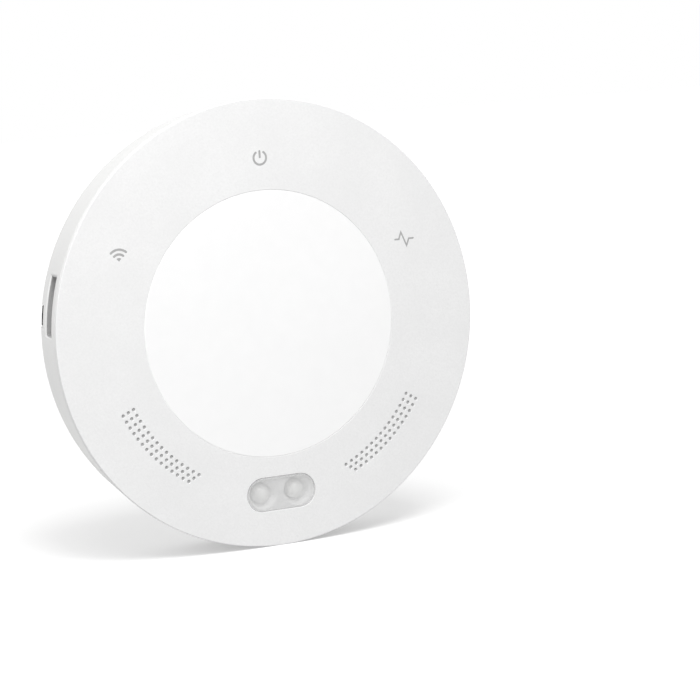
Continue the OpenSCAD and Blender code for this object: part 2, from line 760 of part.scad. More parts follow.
module speaker_frame(side) color("dimgray") upright() behind_grille(side) {
    difference() {
        union() {
            slab(speaker_rim_z, speaker_top_z) speaker_outline(speaker_flange);
            slab(speaker_body_z, speaker_rim_z + eps) speaker_outline();
        }
        slab(speaker_body_z + speaker_wall, speaker_top_z + over) speaker_outline(-speaker_wall);
        post(coil_r + magnet_gap, speaker_body_z - over, speaker_top_z);
    }
    difference() {
        slab(speaker_cone_z - speaker_seat_t, speaker_cone_z) speaker_outline(-speaker_wall / 2);
        slab(speaker_body_z, speaker_top_z) speaker_outline(-2 * speaker_wall);
    }
}

module speaker_diaphragm(side) color("black") upright() behind_grille(side) {
    dome_sphere_r = 7;
    dome_edge_r = 4;
    dome_base = sqrt(pow(dome_sphere_r, 2) - pow(dome_edge_r, 2));
    coil_t = 0.3;
    coil_depth = 1;
    slab(speaker_cone_z, speaker_cone_z + speaker_cone_t) speaker_outline(-speaker_wall - fit);
    translate([0, 0, speaker_cone_z + speaker_cone_t - dome_base]) rotate_extrude() intersection() {
        circle(dome_sphere_r);
        translate([0, dome_base - eps]) square(dome_sphere_r);
    }
    difference() {
        post(coil_r + coil_t, speaker_body_z - coil_depth, speaker_cone_z + eps);
        post(coil_r, speaker_body_z - magnet_t, speaker_cone_z);
    }
}

module speaker_magnet(side) color("silver") upright() behind_grille(side) {
    pot_floor_t = 1;
    magnet_z = speaker_body_z - magnet_t;
    difference() {
        post(magnet_r, magnet_z, speaker_body_z);
        post(coil_r + magnet_gap, magnet_z + pot_floor_t, speaker_body_z + over);
    }
    post(pole_r, magnet_z, speaker_body_z);
}

module grille_cloth(side) color("dimgray") upright() behind_grille(side)
    slab(speaker_top_z, cloth_top_z) speaker_outline();

// Screws

module case_screws() color("silver") upright() at_case_screws() {
    post(case_head_r, case_head_seat_z - case_head_t, case_head_seat_z);
    post(case_shank_r, case_head_seat_z - eps, bezel_under_z - screw_end_gap);
}

module board_screws() color("silver") upright() at_board_screws() {
    post(board_head_r, board_top_z, board_top_z + board_head_t);
    post(board_shank_r, floor_t + screw_end_gap, board_top_z + eps);
}

rear_housing();
cable_grommet();
front_bezel();
centre_cap();
lamp_window();
lamp_reflector();
domed_lamp(-1);  // left_lamp
domed_lamp(1);  // right_lamp
lamp_board();
lamp_header();
light_guide(0);  // power_light_guide
light_guide(1);  // wireless_light_guide
light_guide(2);  // activity_light_guide
status_lamps();
main_board();
processor();
radio_module();
radio_shield();
door_relay(0);  // door_relay_1
door_relay(1);  // door_relay_2
door_relay(2);  // door_relay_3
capacitors();
wire_socket();
wire_contacts();
power_socket();
reset_switch();
switch_plunger();
reset_button();
speaker_frame(-1);  // left_speaker_frame
speaker_diaphragm(-1);  // left_speaker_diaphragm
speaker_magnet(-1);  // left_speaker_magnet
grille_cloth(-1);  // left_grille_cloth
speaker_frame(1);  // right_speaker_frame
speaker_diaphragm(1);  // right_speaker_diaphragm
speaker_magnet(1);  // right_speaker_magnet
grille_cloth(1);  // right_grille_cloth
case_screws();
board_screws();
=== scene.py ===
import json
import math

import bmesh
import bpy
from mathutils import Matrix, Vector


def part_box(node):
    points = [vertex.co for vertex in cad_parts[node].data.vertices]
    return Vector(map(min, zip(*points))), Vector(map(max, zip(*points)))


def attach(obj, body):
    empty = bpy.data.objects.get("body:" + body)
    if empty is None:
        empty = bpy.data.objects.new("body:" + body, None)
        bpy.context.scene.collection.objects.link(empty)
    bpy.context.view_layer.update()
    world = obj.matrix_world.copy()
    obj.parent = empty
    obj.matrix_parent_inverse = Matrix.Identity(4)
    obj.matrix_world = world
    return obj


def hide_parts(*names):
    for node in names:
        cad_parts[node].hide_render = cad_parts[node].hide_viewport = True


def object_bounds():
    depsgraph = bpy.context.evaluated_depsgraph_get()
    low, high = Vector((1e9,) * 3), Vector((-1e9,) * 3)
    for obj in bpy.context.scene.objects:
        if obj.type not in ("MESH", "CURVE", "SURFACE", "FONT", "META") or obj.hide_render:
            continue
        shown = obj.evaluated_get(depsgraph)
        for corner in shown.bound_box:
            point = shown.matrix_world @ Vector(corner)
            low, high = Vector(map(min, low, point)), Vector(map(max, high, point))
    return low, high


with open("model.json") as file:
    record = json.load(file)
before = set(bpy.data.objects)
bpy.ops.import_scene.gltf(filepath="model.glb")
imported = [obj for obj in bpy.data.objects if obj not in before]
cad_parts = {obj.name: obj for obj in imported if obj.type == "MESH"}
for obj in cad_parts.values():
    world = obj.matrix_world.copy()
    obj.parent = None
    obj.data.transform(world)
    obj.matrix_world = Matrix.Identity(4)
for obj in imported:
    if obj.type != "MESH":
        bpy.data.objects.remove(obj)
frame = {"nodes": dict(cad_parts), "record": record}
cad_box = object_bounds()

# Meshes are built in millimetres with the disc lying on its back (x right, y up the face, z out of
# the wall), and UPRIGHT stands them on edge in metres
MM = 0.001
UPRIGHT = Matrix.Scale(MM, 4) @ Matrix.Rotation(math.radians(90), 4, "X")


def lying_box(node):
    """Lowest and highest corner of a CAD node, in millimetres and lying on its back."""
    low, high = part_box(node)
    return Vector((low.x, low.z, -high.y)) / MM, Vector((high.x, high.z, -low.y)) / MM


def middle(node):
    low, high = lying_box(node)
    return (low + high) / 2


# Sizes read from the frame
body_r = lying_box("front_bezel")[1].x
face_z = lying_box("front_bezel")[1].z
seam_z = lying_box("rear_housing")[1].z
cap_r = lying_box("centre_cap")[1].x
window_low, window_high = lying_box("lamp_window")
bay_in_x = lying_box("power_socket")[0].x
mounts = {mount["name"]: mount for mount in frame["record"]["mounts"]}

# Sizes of the housing; fit is the play between pieces, over is how far a cutter reaches past its piece
rim_taper = 2.6
wall = 2.4
floor_t = 2.2
back_edge_r = 1.6
fit = 0.2
back_r = body_r - rim_taper
rim_slope = rim_taper / seam_z
edge_break = 0.25
cap_break = 0.12
cut_break = 0.4
over = 1.0
print_t = 0.02
lip_w = 0.9 * fit

# Sizes of the bezel and the cap
bezel_t = 2.2
bezel_edge_r = 0.3
seam_gap = 0.3
cap_t = 1.8
cap_lip_drop = 0.15
ledge_w = 2.4
ledge_t = 1.8
ledge_rib_w = 2.0
skirt_h = 2.8
skirt_t = 1.4
bezel_under_z = face_z - bezel_t
cap_under_z = face_z - cap_t
ledge_under_z = cap_under_z - ledge_t

# Grilles: arcs of holes, each row the one before it moved outwards, with a pocket for the cloth
grille_r = body_r - 19
grille_hole_r = 0.6
grille_hole_break = 0.1
grille_cols, grille_rows = 15, 3
grille_pitch = math.radians(2.4)
grille_row_step = 2.05
grille_row_lean = math.radians(28.4)
grille_start = math.radians(27.8)
grille_turn = math.radians(3.7)
grille_shift = 0.8
grille_l = 2 * grille_r * math.sin((grille_cols - 1) * grille_pitch / 2)
cloth_drop = 0.45
cloth_top_z = face_z - cloth_drop
cloth_margin = 2.95
cloth_w = 15
pocket_margin = 4.65
pocket_w = 18.4

# Screws, keyholes, wiring bay, cable channel and connector slot
case_screw_r = body_r - 8.5
case_screw_angles = [math.radians(a) for a in (55, 125, 253, 287)]
case_boss_r = 3.4
case_head_r = 2.5
case_head_t = 1.8
case_shank_r = 1.25
case_head_seat_z = lying_box("case_screws")[0].z + case_head_t
boss_split_z = 15
board_screw_r = body_r - 16
board_screw_angles = [math.radians(a) for a in (70, 110, 200, 340)]
standoff_r = 2.9
board_z = lying_box("main_board")[0].z
keyhole_x = mounts["wall_keyholes"]["dims"]["spacing_x_mm"] / 2
keyhole_y = mounts["wall_keyholes"]["pos_m"][2] / MM
keyhole_entry_r = mounts["wall_keyholes"]["dims"]["hole_r_mm"]
keyhole_slot_r = 2.2
keyhole_drop = 8
head_play = 0.8
hood_t = 1.0
hood_gap = 0.3
hood_top_z = board_z - hood_gap
hood_roof_t = 0.9
bay_l = bay_w = 28
bay_depth = 14
bay_wall = 1.8
bay_roof_t = 1.6
bay_corner_r = 2
bay_over_socket = 6
bay_x = bay_in_x - bay_l / 2
bay_y = middle("power_socket").y + bay_over_socket
channel_w = 7.2
channel_depth = 4.4
channel_wall = 1.4
channel_over_bay = 0.6
channel_y = bay_y + channel_over_bay
grommet_sunk = 0.4
grommet_bore_r = 1.3
grommet_slit_w = 0.06
slot_w, slot_h = 20.4, 9
slot_corner_r = 0.5
slot_flare = 0.4
collar_gap = 0.02
collar_t = 0.4
slot_y = middle("wire_socket").y
slot_z = middle("wire_contacts").z

# Reset button, from its finger end: cap, collar behind the wall, stem
button_r = 2.0
button_edge_r = 0.4
button_hole_r = 2.3
button_collar_r = 2.9
button_collar_start, button_collar_end = 2.8, 3.8
button_stem_r = 1.2

# Warning lamps
lamps = ("left_lamp", "right_lamp")
bowl_top_r = 5.1
bowl_floor_r = 3.45
bowl_depth = 3.6
lamp_lip_t = 1.2
window_edge_r = 0.8
window_lip_drop = 0.1

# Steps round a full turn, and distances below which points are one
ring_steps, lamp_steps, grille_hole_steps = 360, 64, 20
weld, cut_weld = 1e-5, 1e-4


def on_axis(angle, radius):
    """Point at an angle, in radians, and a radius round the middle of the disc."""
    return radius * math.cos(angle), radius * math.sin(angle)


def grille_at(side, col, row):
    """Place of a grille hole; side is -1 left or 1 right."""
    turn = side * grille_turn
    angle = grille_start + turn + col * grille_pitch
    lean = grille_row_lean + turn
    step = row * grille_row_step
    return (grille_shift + side * (grille_r * math.cos(angle) + step * math.cos(lean)),
            -grille_r * math.sin(angle) - step * math.sin(lean))


# Outlines: each is a function that gives its points, grown outwards

def arc(x, y, r, start, end, steps):
    """Points along an arc, angles in degrees."""
    angles = [math.radians(start + (end - start) * i / steps) for i in range(steps + 1)]
    return [(x + r * math.cos(a), y + r * math.sin(a)) for a in angles]


def disc(r, steps=48):
    return lambda grow=0: arc(0, 0, r + grow, 0, 360, steps)[:-1]


def oval(l, w, steps=32):
    """Straight-sided oval, length along x."""
    half = (l - w) / 2
    return lambda grow=0: (arc(half, 0, w / 2 + grow, -90, 90, steps)
                           + arc(-half, 0, w / 2 + grow, 90, 270, steps))


def rounded_box(l, w, r, steps=8):
    corners = [(1, 1, 0), (-1, 1, 90), (-1, -1, 180), (1, -1, 270)]
    return lambda grow=0: [p for x, y, a in corners for p in arc(
        x * (l / 2 - r), y * (w / 2 - r), r + grow, a, a + 90, steps)]


def keyhole(steps=24):
    """Entry hole below, slot above it."""
    def points(grow=0):
        entry_r, slot_r = keyhole_entry_r + grow, keyhole_slot_r + grow
        side = math.degrees(math.acos(slot_r / entry_r))
        return (arc(0, keyhole_drop, slot_r, 0, 180, steps)
                + arc(0, 0, entry_r, 180 - side, 360 + side, 2 * steps))
    return points


def ribbon(path, width, steps=8):
    """Outline of a stroke with round ends along a path; sharpest limits how far a corner juts out."""
    sharpest = 0.4
    path = [Vector(p) for p in path]
    ways = [(b - a).normalized() for a, b in zip(path, path[1:])]
    turns = list(zip([ways[0]] + ways, ways + [ways[-1]]))
    sides = []
    for point, (before, after) in zip(path, turns):
        across = Vector((-before.y - after.y, before.x + after.x)).normalized()
        stretch = 1 / max(across.dot(Vector((-after.y, after.x))), sharpest)
        sides.append((point, across * stretch))

    def points(grow=0):
        r = width / 2 + grow
        first, last = [math.degrees(math.atan2(w.y, w.x)) for w in (ways[0], ways[-1])]
        left = [tuple(p + a * r) for p, a in sides[1:-1]]
        right = [tuple(p - a * r) for p, a in sides[1:-1]]
        return (left + arc(*path[-1], r, last + 90, last - 90, steps)
                + right[::-1] + arc(*path[0], r, first - 90, first - 270, steps))
    return points


window_outline = oval(window_high.x - window_low.x, window_high.y - window_low.y)


# Solids

def rounded(points, radii, steps=6):
    """Section with its corners rounded: a radius for each point, 0 where the corner stays sharp."""
    section = []
    for i, (point, r) in enumerate(zip(points, radii)):
        corner = Vector(point)
        back = (Vector(points[i - 1]) - corner).normalized()
        on = (Vector(points[(i + 1) % len(points)]) - corner).normalized()
        if not r:
            section.append(tuple(corner))
            continue
        half = back.angle(on) / 2
        centre = corner + (back + on).normalized() * r / math.sin(half)
        start, end = [corner + way * r / math.tan(half) - centre for way in (back, on)]
        a = math.degrees(math.atan2(start.y, start.x))
        sweep = (math.degrees(math.atan2(end.y, end.x)) - a + 180) % 360 - 180
        section += arc(*centre, r, a, a + sweep, steps)
    return section


def turned(section, steps=48):
    """Solid of a closed section of (radius, z) points turned about the z axis."""
    mesh = bmesh.new()
    rings = []
    for i in range(steps):
        a = 2 * math.pi * i / steps
        rings.append([mesh.verts.new((r * math.cos(a), r * math.sin(a), z)) for r, z in section])
    for here, there in zip(rings, rings[1:] + rings[:1]):
        for i, (r, z) in enumerate(section):
            if max(r, section[i - 1][0]) > weld:
                mesh.faces.new((here[i - 1], here[i], there[i], there[i - 1]))
    bmesh.ops.remove_doubles(mesh, verts=mesh.verts, dist=weld)
    return mesh


def stacked(outline, levels):
    """Solid through an outline at several levels, each given as (grow, z)."""
    mesh = bmesh.new()
    loops = [[mesh.verts.new((x, y, z)) for x, y in outline(grow)] for grow, z in levels]
    for low, high in zip(loops, loops[1:]):
        for i in range(len(low)):
            mesh.faces.new((low[i - 1], low[i], high[i], high[i - 1]))
    mesh.faces.new(loops[0][::-1])
    mesh.faces.new(loops[-1])
    return mesh


def placed(mesh, x=0, y=0, z=0, turn=0.0):
    mesh.transform(Matrix.Translation((x, y, z)) @ Matrix.Rotation(turn, 4, "Z"))
    return mesh


def along_x(mesh, x, y, z):
    """Lays a mesh that was built up the z axis along x, from x on."""
    mesh.transform(Matrix.Translation((x, y, z)) @ Matrix.Rotation(math.radians(90), 4, "Y"))
    return mesh


def joined(meshes):
    whole = bmesh.new()
    scratch = bpy.data.meshes.new("scratch")
    for mesh in meshes:
        mesh.to_mesh(scratch)
        whole.from_mesh(scratch)
        mesh.free()
    bpy.data.meshes.remove(scratch)
    return whole


def scratch_object(mesh):
    bmesh.ops.recalc_face_normals(mesh, faces=mesh.faces)
    data = bpy.data.meshes.new("scratch")
    mesh.to_mesh(data)
    mesh.free()
    made = bpy.data.objects.new("scratch", data)
    bpy.context.scene.collection.objects.link(made)
    return made


def combined(mesh, *steps):
    """A mesh after boolean steps, each an operation and the meshes that it takes together."""
    body = scratch_object(mesh)
    tools = []
    for operation, meshes in steps:
        tools.append(scratch_object(joined(meshes)))
        step = body.modifiers.new(operation, "BOOLEAN")
        step.operation = operation
        step.solver = "EXACT"
        step.use_self = operation == "UNION"
        step.object = tools[-1]
    result = bmesh.new()
    result.from_object(body, bpy.context.evaluated_depsgraph_get())
    for used in [body] + tools:
        data = used.data
        bpy.data.objects.remove(used)
        bpy.data.meshes.remove(data)
    bmesh.ops.remove_doubles(result, verts=result.verts, dist=cut_weld)
    return result


def piece(name, mesh, finish, nodes=(), body="housing", sharp=32):
    """Stands a mesh up, gives it its finish and lets it ride on its body in place of its CAD nodes."""
    bmesh.ops.recalc_face_normals(mesh, faces=mesh.faces)
    mesh.transform(UPRIGHT)
    data = bpy.data.meshes.new(name)
    mesh.to_mesh(data)
    mesh.free()
    data.shade_smooth()
    data.set_sharp_from_angle(angle=math.radians(sharp))
    data.materials.append(finish)
    made = bpy.data.objects.new(name, data)
    bpy.context.scene.collection.objects.link(made)
    normals = made.modifiers.new("flat faces stay flat", "WEIGHTED_NORMAL")
    normals.keep_sharp = True
    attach(made, body)
    if nodes:
        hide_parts(*nodes)
    return made


# Materials

def linear(colour):
    """Linear colour of an sRGB hex value."""
    channels = [int(colour[i:i + 2], 16) / 255 for i in (1, 3, 5)]
    return tuple(c / 12.92 if c < 0.04045 else ((c + 0.055) / 1.055) ** 2.4 for c in channels) + (1.0,)


def add(tree, kind, inputs, **settings):
    """Adds a node: settings are its own, inputs are values or the sockets that feed them."""
    made = tree.nodes.new(kind)
    for name, value in settings.items():
        setattr(made, name, value)
    for name, value in inputs.items():
        if isinstance(value, bpy.types.NodeSocket):
            tree.links.new(value, made.inputs[name])
        else:
            made.inputs[name].default_value = value
    return made.outputs


# Where a Mix node has its two colours among its inputs, and their mix among its outputs
MIX_A, MIX_B, MIX_RESULT = 6, 7, 2


def per_metre(size_mm):
    """Pattern scale at which one feature has this size."""
    return 1 / (size_mm * MM)


def new_material(name):
    made = bpy.data.materials.new(name)
    made.use_nodes = True
    made.node_tree.nodes.clear()
    return made, made.node_tree


def moulded(name, light, dark, roughness, grain_mm, grain_depth_mm, drift_mm=25, **sockets):
    """Moulded plastic: colour drifts from light to dark over drift_mm, with a grain of grain_mm.

    The grain of a real tool, 0.02 to 0.1 mm, is too fine to show, so grain_mm is drawn coarser.
    """
    darkest, lightest = 0.12, 0.4
    grain_low, grain_high = 0.3, 0.7
    smooth, rough = roughness * 0.85, roughness * 1.15
    made, tree = new_material(name)
    at = add(tree, "ShaderNodeTexCoord", {})["Object"]
    drift = add(tree, "ShaderNodeTexNoise", {
        "Vector": at, "Scale": per_metre(drift_mm), "Detail": 3.0})["Fac"]
    grain = add(tree, "ShaderNodeTexNoise", {
        "Vector": at, "Scale": per_metre(grain_mm), "Detail": 2.0})["Fac"]
    both = add(tree, "ShaderNodeMath", {0: drift, 1: grain}, operation="MULTIPLY")[0]
    share = add(tree, "ShaderNodeMapRange", {
        "Value": both, "From Min": darkest, "From Max": lightest})[0]
    colour = add(tree, "ShaderNodeMix", {
        "Factor": share, MIX_A: linear(dark), MIX_B: linear(light)}, data_type="RGBA")[MIX_RESULT]
    shine = add(tree, "ShaderNodeMapRange", {
        "Value": grain, "From Min": grain_low, "From Max": grain_high, "To Min": smooth, "To Max": rough})[0]
    relief = add(tree, "ShaderNodeBump", {
        "Height": grain, "Distance": grain_depth_mm * MM, "Strength": 1.0})[0]
    shader = add(tree, "ShaderNodeBsdfPrincipled", {
        "Base Color": colour, "Roughness": shine, "Normal": relief, **sockets})[0]
    add(tree, "ShaderNodeOutputMaterial", {"Surface": shader})
    return made


ABS_IOR = 1.54
# Moulded ABS with a spark-eroded face: matt, with a fine even sparkle; the grain, really about 0.1 mm,
# is drawn at 0.7 mm so that it shows
spark_eroded_abs = moulded("spark_eroded_abs", "#F2F2F2", "#ECECEC", 0.62, 0.7, 0.06, IOR=ABS_IOR)
# Moulded ABS from a blasted tool: satin, with a soft highlight along the rim
satin_abs = moulded("satin_abs", "#E9E9E8", "#E5E5E4", 0.36, 0.9, 0.01, IOR=ABS_IOR)
# Moulded ABS from a polished tool: bright white with clear reflections, hardly any relief
polished_abs = moulded("polished_abs", "#FCFCFC", "#FAFAFA", 0.08, 6.0, 0.004, 40, IOR=ABS_IOR)
# Moulded polycarbonate with a light haze: a little milky, mostly see-through, glossy on the edge
hazed_polycarbonate = moulded(
    "hazed_polycarbonate", "#FAFAFA", "#F6F6F6", 0.16, 3.0, 0.01, 12, IOR=1.585, Alpha=0.3)
# Moulded ABS in white, satin, that throws the lamps' light forwards
reflector_abs = moulded("reflector_abs", "#FAFAFA", "#F6F6F6", 0.3, 0.8, 0.006, 12, IOR=ABS_IOR)
# Cast epoxy filled with diffuser: milky with a wet shine
diffused_epoxy = moulded("diffused_epoxy", "#EAEAE8", "#E4E4E2", 0.18, 1.5, 0.004, 6, IOR=1.5)
# Cast acrylic with polished ends: clear, with a cool tint and sharp reflections
clear_acrylic = moulded("clear_acrylic", "#F2F5F7", "#E8ECEE", 0.06, 2.0, 0.002, 8, IOR=1.49, Alpha=0.35)
# Screen-printed matt ink: even grey with the face's grain in it
screen_ink = moulded("screen_ink", "#B2B2B2", "#A8A8A8", 0.6, 0.7, 0.03, 4, IOR=1.5)
# Pale grey matt layer on the reflector's flat: painted shade, a darker band between the bowls behind the lens
reflector_shade_ink = moulded("reflector_shade_ink", "#DADADA", "#D4D4D4", 0.6, 0.7, 0.01, 4, IOR=1.5)
# Moulded black phenolic and nylon of electronic parts: dull
black_moulding = moulded("black_moulding", "#242424", "#1A1A1A", 0.55, 0.4, 0.01, 8, IOR=1.5)
# Moulded elastomer: charcoal, dull, with a faint bloom; its dark is also painted shade in the cable notch
soft_rubber = moulded("soft_rubber", "#4C4C4C", "#444444", 0.75, 0.5, 0.015, 5, IOR=1.52)
# Moulded glass-filled nylon in pale grey: dull, slightly blotchy
grey_nylon = moulded("grey_nylon", "#C0C0C0", "#B4B4B4", 0.5, 0.5, 0.012, 6, IOR=1.53)
# Moulded acetal: mid grey with a waxy shine
grey_acetal = moulded("grey_acetal", "#A2A4A6", "#989A9C", 0.35, 0.5, 0.006, 4, IOR=1.48)
# Pressed fibre cone: black and dull with a fibrous grain
pressed_fibre = moulded("pressed_fibre", "#1E1D1C", "#141312", 0.85, 0.25, 0.04, 5, IOR=1.5)


def solder_mask_board():
    """Glass-fibre board under green solder mask: shiny green with paler tracks under the mask."""
    made, tree = new_material("solder_mask_board")
    field_mm, track_mm, copper_mm = 8.0, 1.2, 0.035
    at = add(tree, "ShaderNodeTexCoord", {})["Object"]
    tracks = add(tree, "ShaderNodeTexBrick", {
        "Vector": at, "Scale": per_metre(field_mm),
        "Mortar Size": track_mm / field_mm / 2, "Mortar Smooth": 0.1,
        "Color1": linear("#14482B"), "Color2": linear("#164E2F"), "Mortar": linear("#1E6A41")})
    relief = add(tree, "ShaderNodeBump", {"Height": tracks["Fac"], "Distance": copper_mm * MM})[0]
    shader = add(tree, "ShaderNodeBsdfPrincipled", {
        "Base Color": tracks["Color"], "Roughness": 0.28, "Normal": relief, "IOR": 1.55})[0]
    add(tree, "ShaderNodeOutputMaterial", {"Surface": shader})
    return made


def metal(name, light, dark, roughness, line_mm):
    """Metal with fine lines along x.

    Real ones, some hundredths of a millimetre apart, are too fine to show, so they are drawn line_mm apart.
    """
    along, line_depth_mm = 0.05, 0.004
    smooth, rough = roughness * 0.7, roughness * 1.3
    made, tree = new_material(name)
    at = add(tree, "ShaderNodeTexCoord", {})["Object"]
    stretch = add(tree, "ShaderNodeMapping", {"Vector": at, "Scale": (along, 1.0, 1.0)})[0]
    lines = add(tree, "ShaderNodeTexNoise", {
        "Vector": stretch, "Scale": per_metre(line_mm), "Detail": 4.0})["Fac"]
    colour = add(tree, "ShaderNodeMix", {
        "Factor": lines, MIX_A: linear(dark), MIX_B: linear(light)}, data_type="RGBA")[MIX_RESULT]
    shine = add(tree, "ShaderNodeMapRange", {"Value": lines, "To Min": smooth, "To Max": rough})[0]
    relief = add(tree, "ShaderNodeBump", {"Height": lines, "Distance": line_depth_mm * MM})[0]
    shader = add(tree, "ShaderNodeBsdfPrincipled", {
        "Base Color": colour, "Metallic": 1.0, "Roughness": shine, "Normal": relief})[0]
    add(tree, "ShaderNodeOutputMaterial", {"Surface": shader})
    return made


# Zinc-plated steel: pale blue-grey with faint drawing lines
zinc_steel = metal("zinc_steel", "#C9CBCE", "#AEB1B5", 0.28, 0.25)
# Zinc-plated steel inside the drives of the screws, made dark: painted shade in the recesses
drive_shade_steel = metal("drive_shade_steel", "#5C5D60", "#48494C", 0.5, 0.25)
# Drawn aluminium of the capacitor cans: brighter and smoother
drawn_aluminium = metal("drawn_aluminium", "#D5D6D8", "#C2C4C7", 0.22, 0.3)
# Gold-flashed brass of the contacts: warm yellow with a soft shine
plated_brass = metal("plated_brass", "#E2C27A", "#C9A558", 0.24, 0.2)


def crossing_threads():
    """Woven polyester behind the grilles: pale grey, dull, with its threads crossing.

    The thread, really about 0.1 mm, is drawn at thread_mm so that it shows.
    """
    made, tree = new_material("woven_polyester")
    thread_mm, weave_depth_mm = 0.3, 0.1
    # At scale 1 a Wave texture has about six half waves to the unit, each a thread or the gap beside it
    half_waves_per_unit = 6
    scale = per_metre(thread_mm) / half_waves_per_unit
    at = add(tree, "ShaderNodeTexCoord", {})["Object"]
    ways = [add(tree, "ShaderNodeTexWave", {"Vector": at, "Scale": scale, "Distortion": 0.4},
                bands_direction=way)["Fac"] for way in ("X", "Z")]
    weave = add(tree, "ShaderNodeMath", {0: ways[0], 1: ways[1]}, operation="MAXIMUM")[0]
    colour = add(tree, "ShaderNodeMix", {
        "Factor": weave, MIX_A: linear("#B8B8B8"), MIX_B: linear("#C2C2C2")}, data_type="RGBA")[MIX_RESULT]
    relief = add(tree, "ShaderNodeBump", {"Height": weave, "Distance": weave_depth_mm * MM})[0]
    shader = add(tree, "ShaderNodeBsdfPrincipled", {
        "Base Color": colour, "Roughness": 0.9, "Normal": relief, "Sheen Weight": 0.2})[0]
    add(tree, "ShaderNodeOutputMaterial", {"Surface": shader})
    return made


woven_polyester = crossing_threads()
slot_finish = {
    "housing_white": satin_abs, "bezel_matt": spark_eroded_abs, "cap_gloss": polished_abs,
    "window_clear": hazed_polycarbonate, "reflector_grey": reflector_abs, "lamp_dome": diffused_epoxy,
    "guide_clear": clear_acrylic, "board_green": solder_mask_board(), "moulding_black": black_moulding,
    "steel": zinc_steel, "aluminium_can": drawn_aluminium, "socket_grey": grey_nylon,
    "brass_contacts": plated_brass, "diaphragm_black": pressed_fibre, "acoustic_cloth": woven_polyester,
    "button_grey": grey_acetal, "grommet_rubber": soft_rubber,
}

# Every CAD node takes the finish of its slot
for row in frame["record"]["subparts"]:
    carried = frame["nodes"][row["node"]]
    carried.data.materials.clear()
    carried.data.materials.append(slot_finish[row["material_slot"]])


# Rear housing

def housing_shell():
    """Tapered tub with hoods, bosses, standoffs, wiring bay and cable channel, then all that is cut."""
    inner_r = back_r - wall
    section = rounded(
        [(0, 0), (back_r, 0), (body_r, seam_z), (body_r - wall, seam_z),
         (inner_r + rim_slope * floor_t, floor_t), (0, floor_t)],
        [0, back_edge_r, cut_break, edge_break, edge_break, 0])
    tub = turned(section, ring_steps)
    bay = rounded_box(bay_l, bay_w, bay_corner_r)
    channel_l = body_r + bay_x
    channel = rounded_box(channel_l, channel_w, edge_break)
    channel_x = bay_x - channel_l / 2 - over
    channel_block_l = back_r - wall - edge_break + bay_x - bay_l / 2
    channel_block = rounded_box(channel_block_l, channel_w + 2 * channel_wall, edge_break)
    head_w = 2 * (keyhole_entry_r + head_play)
    head_room = oval(keyhole_drop + head_w, head_w)
    head_y = keyhole_y + keyhole_drop / 2
    upwards = math.radians(90)
    hoods = [placed(stacked(head_room, [(hood_t, over), (hood_t, hood_top_z)]),
                    s * keyhole_x, head_y, 0, upwards) for s in (-1, 1)]
    bosses = [placed(stacked(disc(case_boss_r), [(0, over), (0, boss_split_z)]),
                     *on_axis(a, case_screw_r)) for a in case_screw_angles]
    standoffs = [placed(stacked(disc(standoff_r), [(0, over), (0, board_z)]),
                        *on_axis(a, board_screw_r)) for a in board_screw_angles]
    bay_block = placed(stacked(bay, [(bay_wall, over), (bay_wall, bay_depth + bay_roof_t)]), bay_x, bay_y)
    channel_block = placed(stacked(channel_block, [(0, over), (0, channel_depth + channel_wall)]),
                           bay_x - bay_l / 2 - channel_block_l / 2, channel_y)
    mouth = [(cut_break + over, -over), (0, cut_break)]
    bay_cut = placed(stacked(bay, mouth + [(0, bay_depth)]), bay_x, bay_y)
    keyholes = [placed(stacked(keyhole(), mouth + [(0, floor_t + edge_break)]), s * keyhole_x, keyhole_y)
                for s in (-1, 1)]
    head_rooms = [placed(stacked(head_room, [(0, floor_t), (0, hood_top_z - hood_roof_t)]),
                         s * keyhole_x, head_y, 0, upwards) for s in (-1, 1)]
    recess_r, bore_r = case_head_r + fit, case_shank_r + fit
    recess = [(0, -over), (recess_r + cut_break + over, -over), (recess_r, cut_break),
              (recess_r, case_head_seat_z), (bore_r, case_head_seat_z),
              (bore_r, boss_split_z + over), (0, boss_split_z + over)]
    recesses = [placed(turned(recess), *on_axis(a, case_screw_r)) for a in case_screw_angles]
    channel_cut = placed(stacked(channel, mouth + [(0, channel_depth)]), channel_x, channel_y)
    low, high = lying_box("power_socket")
    plug, button = middle("power_socket"), middle("reset_button")
    through = bay_wall + 2 * over
    plug_hole = stacked(oval(high.y - low.y, high.z - low.z), [(fit, 0), (fit, through)])
    plug_hole = along_x(placed(plug_hole, turn=upwards), bay_in_x - over, plug.y, plug.z)
    button_hole = stacked(disc(button_hole_r), [(0, 0), (0, through)])
    button_hole = along_x(button_hole, bay_in_x - over, button.y, button.z)
    slot = slot_block([(0, -2 * wall), (0, -slot_flare), (slot_flare + over, over)])
    return combined(
        tub, ("UNION", hoods + bosses + standoffs + [bay_block]), ("UNION", [channel_block]),
        ("DIFFERENCE", [bay_cut] + keyholes + recesses), ("DIFFERENCE", [channel_cut] + head_rooms),
        ("DIFFERENCE", [plug_hole, button_hole, slot]))


def slot_block(levels):
    """Block of the connector slot's outline, bent round the rim; levels are (grow, way out of the rim)."""
    bend_steps = 12
    rim_r = back_r + rim_slope * slot_z
    block = stacked(rounded_box(slot_w, slot_h, slot_corner_r), [(grow, rim_r + out) for grow, out in levels])
    lengthways = [e for e in block.edges if abs(e.verts[0].co.x - e.verts[1].co.x) > slot_w / 2]
    bmesh.ops.subdivide_edges(block, edges=lengthways, cuts=bend_steps)
    for corner in block.verts:
        u, v, r = corner.co
        angle = math.pi - math.asin(slot_y / rim_r) - u / rim_r
        corner.co = (*on_axis(angle, r + rim_slope * v), slot_z + v)
    return block


def slot_shade_collar():
    """Grey collar of the wire socket, which lines the slot up to its flare; its grey is partly the socket's
    own and partly painted shade in the slot.
    """
    sleeve = slot_block([(-collar_gap, -wall - fit / 2), (-collar_gap, -slot_flare)])
    bore = slot_block([(-collar_t, -2 * wall), (-collar_t, over)])
    return combined(sleeve, ("DIFFERENCE", [bore]))


